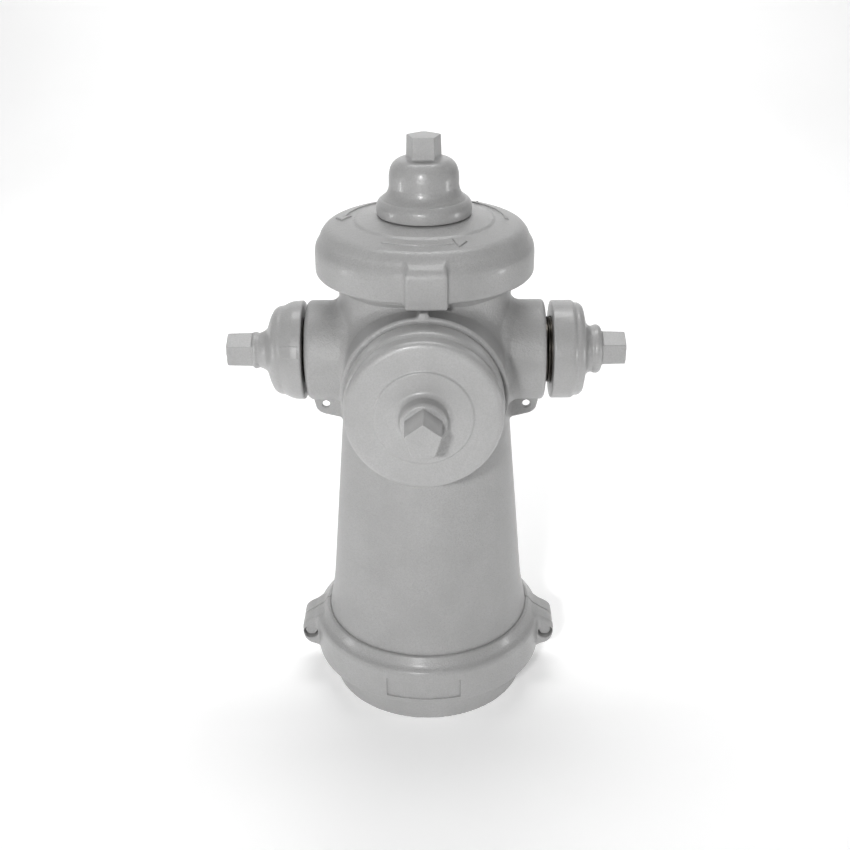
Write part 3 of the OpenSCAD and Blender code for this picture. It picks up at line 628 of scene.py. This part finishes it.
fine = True
scale = 1.0 if fine else 1.6
painted = [
    cast_node("barrel_casting", "nozzle_barrel", barrel_field, ROOT, 1.6 * scale, 190000),
    cast_node("bonnet_casting", "bonnet", bonnet_field, ROOT, 1.15 * scale, 170000),
    cast_node("operating_nut_casting", "operating_nut", operating_nut_field, "operating_nut_body",
              0.85 * scale, 90000),
    cast_node("left_cap_casting", "hose_cap_left",
              hose_cap_field(LEFT_CAP, -1, LEFT_RIM, LEFT_LENGTH, 12, True),
              "hose_cap_left_body", 0.9 * scale, 80000),
    cast_node("right_cap_casting", "hose_cap_right",
              hose_cap_field(RIGHT_CAP, 1, RIGHT_RIM, RIGHT_LENGTH, 166, False),
              "hose_cap_right_body", 0.9 * scale, 80000),
    cast_node("pumper_cap_casting", "pumper_cap", pumper_cap_field, "pumper_cap_body", 1.1 * scale, 110000),
    cast_node("front_clamp_casting", "clamp_half_front", clamp_field(-1), ROOT, 1.1 * scale, 120000),
    cast_node("rear_clamp_casting", "clamp_half_rear", clamp_field(1), ROOT, 1.3 * scale, 80000),
    cast_node("lower_barrel_casting", "lower_barrel_end", stub_field, ROOT, 2.0 * scale, 60000),
    cast_node("clamp_bolt_pair", "clamp_bolts", bolt_head_field, ROOT, 0.6 * scale, 30000),
    cast_node("clamp_nut_pair", "clamp_nuts", clamp_nut_field, ROOT, 0.6 * scale, 20000),
]
threaded = [
    add(hose_nozzle("left_hose_nozzle", LEFT), ROOT, "bronze", "hose_nozzle_left"),
    add(hose_nozzle("right_hose_nozzle", RIGHT), ROOT, "bronze", "hose_nozzle_right"),
    add(pumper_nozzle("pumper_nozzle_threaded", FRONT), ROOT, "bronze", "pumper_nozzle"),
]


# ---- materials -------------------------------------------------------------------------------
class Nodes:
    """Short way to add shader nodes to one material."""

    def __init__(self, name):
        self.material = bpy.data.materials.new(name)
        self.material.use_nodes = True
        self.tree = self.material.node_tree
        self.tree.nodes.clear()
        self.place = self.add("ShaderNodeTexCoord").outputs["Object"]

    def add(self, kind, **inputs):
        node = self.tree.nodes.new(kind)
        for key, value in inputs.items():
            key = key.replace("_", " ")
            if isinstance(value, bpy.types.NodeSocket):
                self.tree.links.new(value, node.inputs[key])
            else:
                node.inputs[key].default_value = value
        return node

    def noise(self, scale, detail=3.0, roughness=0.55):
        return self.add("ShaderNodeTexNoise", Vector=self.place, Scale=scale, Detail=detail,
                        Roughness=roughness).outputs["Fac"]

    def cells(self, scale):
        return self.add("ShaderNodeTexVoronoi", Vector=self.place, Scale=scale).outputs["Distance"]

    def span(self, value, low, high, to_low, to_high):
        return self.add("ShaderNodeMapRange", Value=value, From_Min=low, From_Max=high, To_Min=to_low,
                        To_Max=to_high).outputs["Result"]

    def mix(self, amount, a, b):
        node = self.tree.nodes.new("ShaderNodeMix")
        node.data_type = "RGBA"
        for socket, value in ((node.inputs[0], amount), (node.inputs[6], a), (node.inputs[7], b)):
            if isinstance(value, bpy.types.NodeSocket):
                self.tree.links.new(value, socket)
            else:
                socket.default_value = value
        return node.outputs[2]

    def sum(self, *parts):
        """Sum of (value, weight) pairs."""
        total = None
        for value, weight in parts:
            node = self.tree.nodes.new("ShaderNodeMath")
            node.operation = "MULTIPLY_ADD"
            self.tree.links.new(value, node.inputs[0])
            node.inputs[1].default_value = weight
            if total is None:
                node.inputs[2].default_value = 0
            else:
                self.tree.links.new(total, node.inputs[2])
            total = node.outputs[0]
        return total

    def finish(self, color, roughness, height=None, distance=0.0005, metallic=0.0, coat=0.0, glow=0.0,
               grainy_coat=False):
        """The material, with bump from height, which also roughens the clear coat when it is grainy."""
        shader = self.add("ShaderNodeBsdfPrincipled", Base_Color=color, Roughness=roughness,
                          Metallic=metallic, Coat_Weight=coat, Coat_Roughness=0.22,
                          Emission_Color=(1, 1, 1, 1), Emission_Strength=glow)
        if height is not None:
            bump = self.add("ShaderNodeBump", Strength=1.0, Distance=distance, Height=height)
            self.tree.links.new(bump.outputs["Normal"], shader.inputs["Normal"])
            if grainy_coat:
                self.tree.links.new(bump.outputs["Normal"], shader.inputs["Coat Normal"])
        out = self.add("ShaderNodeOutputMaterial")
        self.tree.links.new(shader.outputs["BSDF"], out.inputs["Surface"])
        return self.material


def grey(value, warm=0.0):
    return (value * (1 + warm), value, value * (1 - warm), 1)


def painted_iron(name, tone, relief, gloss, grainy=False):
    """Satin enamel over rough castings: orange peel and casting lumps, with painted shade darkening the
    creases and a painted highlight lightening the convex edges.
    """
    n = Nodes(name)
    lumps = n.noise(38, 2)
    dimples = n.noise(190, 2, 0.5)
    peel = n.noise(520, 3, 0.6)
    grain = n.cells(900)
    blotch = n.noise(16, 4, 0.6)
    speck = n.noise(1100, 2)
    # pointiness drives painted shade in concave creases and a painted highlight on convex edges
    crease_shade_edge_highlight = n.add("ShaderNodeNewGeometry").outputs["Pointiness"]
    color = n.mix(n.span(blotch, 0.35, 0.65, 0, 1), grey(tone * 0.93, 0.004), grey(tone * 1.05, 0.002))
    color = n.mix(n.span(peel, 0.35, 0.65, 0.6, 0), color, grey(tone * 0.82, 0.004))
    color = n.mix(n.span(speck, 0.56, 0.72, 0, 0.45), color, grey(tone * 0.64, 0.01))
    # painted shade: concave creases darkened towards half the tone
    color = n.mix(n.span(crease_shade_edge_highlight, 0.47, 0.40, 0, 0.4), color, grey(tone * 0.5, 0.02))
    # painted highlight: sharp convex edges lightened above the tone
    color = n.mix(n.span(crease_shade_edge_highlight, 0.53, 0.60, 0, 0.4), color, grey(tone * 1.22, 0))
    rough = n.sum((n.span(peel, 0.3, 0.7, 0.52 - 0.3 * gloss, 0.62 - 0.26 * gloss), 1.0),
                  (n.span(blotch, 0.3, 0.7, -0.04, 0.05), 1.0))
    height = n.sum((lumps, 0.7), (dimples, 0.25 * relief), (peel, 0.2 * relief), (grain, 0.06 * relief))
    return n.finish(color, rough, height, 0.0012, coat=0.45 * gloss, grainy_coat=grainy)


def machined(name, base, roughness, grooves=2600.0, tarnish=0.5):
    """Turned metal with fine tool marks and tarnish."""
    n = Nodes(name)
    marks = n.noise(grooves, 2, 0.7)
    stain = n.noise(55, 5, 0.65)
    dark = tuple(c * tarnish for c in base[:3]) + (1,)
    color = n.mix(n.span(stain, 0.4, 0.7, 0, 1), base, dark)
    rough = n.span(stain, 0.3, 0.7, roughness, roughness + 0.22)
    return n.finish(color, rough, n.sum((marks, 0.25), (stain, 0.5)), 0.0002, metallic=1.0)


def cast_bare(name):
    """Unpainted iron, rusty in patches."""
    n = Nodes(name)
    rust = n.noise(60, 5, 0.7)
    color = n.mix(n.span(rust, 0.42, 0.62, 0, 1), (0.10, 0.095, 0.09, 1), (0.13, 0.07, 0.04, 1))
    rough = n.span(rust, 0.3, 0.7, 0.6, 0.85)
    return n.finish(color, rough, n.sum((n.noise(500, 4), 1.0)), 0.0006, metallic=0.2)


def moulded_rubber(name):
    """Black rubber, a little worn."""
    n = Nodes(name)
    wear = n.noise(140, 4)
    color = n.mix(n.span(wear, 0.4, 0.7, 0, 1), grey(0.022), grey(0.05))
    return n.finish(color, n.span(wear, 0.3, 0.7, 0.55, 0.75), n.sum((n.noise(900, 2), 1.0)), 0.0002)


# the photo's greys, at three finenesses of casting
enamel = painted_iron("grey enamel on smooth cast iron", 0.425, 1.0, 0.70)
rough_enamel = painted_iron("grey enamel on rough cast iron", 0.415, 1.9, 0.62)
sand_cast_enamel = painted_iron("grey enamel on sand-cast barrel", 0.405, 2.2, 0.65, grainy=True)
finishes = {
    "paint": enamel,
    "bronze": machined("turned bronze", (0.112, 0.103, 0.090, 1), 0.30),
    "steel": machined("turned steel", (0.42, 0.43, 0.45, 1), 0.28, tarnish=0.65),
    "bare_iron": cast_bare("bare cast iron"),
    "rubber": moulded_rubber("moulded rubber"),
}
COARSE_CASTINGS = {"bonnet_casting": rough_enamel, "front_clamp_casting": rough_enamel,
                   "rear_clamp_casting": rough_enamel, "lower_barrel_casting": rough_enamel,
                   "barrel_casting": sand_cast_enamel}


def paint_over(obj, material):
    obj.data.materials.clear()
    obj.data.materials.append(material)


for piece in painted:
    paint_over(piece, COARSE_CASTINGS.get(piece.name, enamel))
for piece in threaded:
    paint_over(piece, finishes["bronze"])
for part in frame["record"]["subparts"]:
    paint_over(frame["nodes"][part["node"]], finishes[part["material_slot"]])


# ---- floor, light and camera -----------------------------------------------------------------
def stage_floor():
    """Pale floor that curves up into a backdrop."""
    profile = [(-3.0, 0.0)] + [(2.2 + 1.6 * math.sin(a), 1.6 - 1.6 * math.cos(a))
                               for a in np.radians(np.linspace(0, 90, 13))] + [(3.8, 5.0)]
    vertices = np.array([(x, y, z) for y, z in profile for x in (-6.0, 6.0)]) / MM
    rows = len(profile)
    faces = np.array([(2 * i, 2 * i + 1, 2 * i + 3, 2 * i + 2) for i in range(rows - 1)])
    floor = make_object("studio_floor", vertices, faces)
    n = Nodes("pale floor")
    color = n.mix(n.span(n.noise(3), 0.3, 0.7, 0, 1), grey(0.90), grey(0.93))
    floor.data.materials.append(n.finish(color, 0.9, glow=0.25))


def area_light(name, place, aim, size, power, height=None):
    """Round light, or an oval one when it has a height of its own."""
    light = bpy.data.lights.new(name, "AREA")
    light.shape = "ELLIPSE" if height else "DISK"
    light.size = size
    light.size_y = height or size
    light.energy = power
    obj = bpy.data.objects.new(name, light)
    bpy.context.collection.objects.link(obj)
    obj.location = place
    obj.rotation_euler = (Vector(aim) - Vector(place)).to_track_quat("-Z", "Y").to_euler()
    return obj


CAMERA_PLACE = Vector((0.0179, -1.2978, 0.9870))
CAMERA_PITCH, CAMERA_YAW, CAMERA_ROLL = 0.455, -0.015, -0.010


def camera():
    """Camera at the photograph's viewing angle."""
    cp, sp = math.cos(CAMERA_PITCH), math.sin(CAMERA_PITCH)
    forward = Vector((math.sin(CAMERA_YAW) * cp, math.cos(CAMERA_YAW) * cp, -sp))
    level = Vector((math.cos(CAMERA_YAW), -math.sin(CAMERA_YAW), 0))
    top = level.cross(forward)
    cr, sr = math.cos(CAMERA_ROLL), math.sin(CAMERA_ROLL)
    right, up = cr * level + sr * top, cr * top - sr * level
    data = bpy.data.cameras.new("camera")
    data.lens, data.sensor_width = 50, 36
    obj = bpy.data.objects.new("camera", data)
    turn = Matrix((right, up, -forward)).transposed().to_4x4()
    obj.matrix_world = Matrix.Translation(CAMERA_PLACE) @ turn
    bpy.context.collection.objects.link(obj)
    bpy.context.scene.camera = obj


stage_floor()
camera()
middle = (0, 0, 0.38)
area_light("key beside the camera", (-0.28, -1.62, 1.13), middle, 0.17, 14.0, height=0.10)
area_light("front fill", (-0.30, -1.55, 0.60), (0, 0, 0.55), 0.4, 3.8)
area_light("soft overhead", (0.1, -0.3, 2.9), middle, 2.4, 4)
area_light("soft left", (-2.4, -1.4, 1.3), middle, 2.0, 1.6)
area_light("soft right", (2.4, -1.6, 1.2), middle, 2.0, 1.4)
area_light("small left", (-1.45, -0.20, 0.36), (0, 0, 0.45), 0.16, 2.5)
area_light("small right", (1.45, -0.20, 0.36), (0, 0, 0.45), 0.16, 2.7)
area_light("backdrop wash", (0, 1.0, 2.8), (0, 3.2, 0.6), 2.0, 74)

# the room is dim as a light, but pale where the camera sees past the backdrop
world = bpy.data.worlds.new("studio")
world.use_nodes = True
sky = world.node_tree.nodes["Background"]
sky.inputs["Color"].default_value = (1, 1, 1, 1)
seen = world.node_tree.nodes.new("ShaderNodeLightPath").outputs["Is Camera Ray"]
strength = world.node_tree.nodes.new("ShaderNodeMapRange")
strength.inputs["To Min"].default_value = 0.04
strength.inputs["To Max"].default_value = 0.70
world.node_tree.links.new(seen, strength.inputs["Value"])
world.node_tree.links.new(strength.outputs["Result"], sky.inputs["Strength"])
bpy.context.scene.world = world
bpy.context.scene.view_settings.view_transform = "Standard"
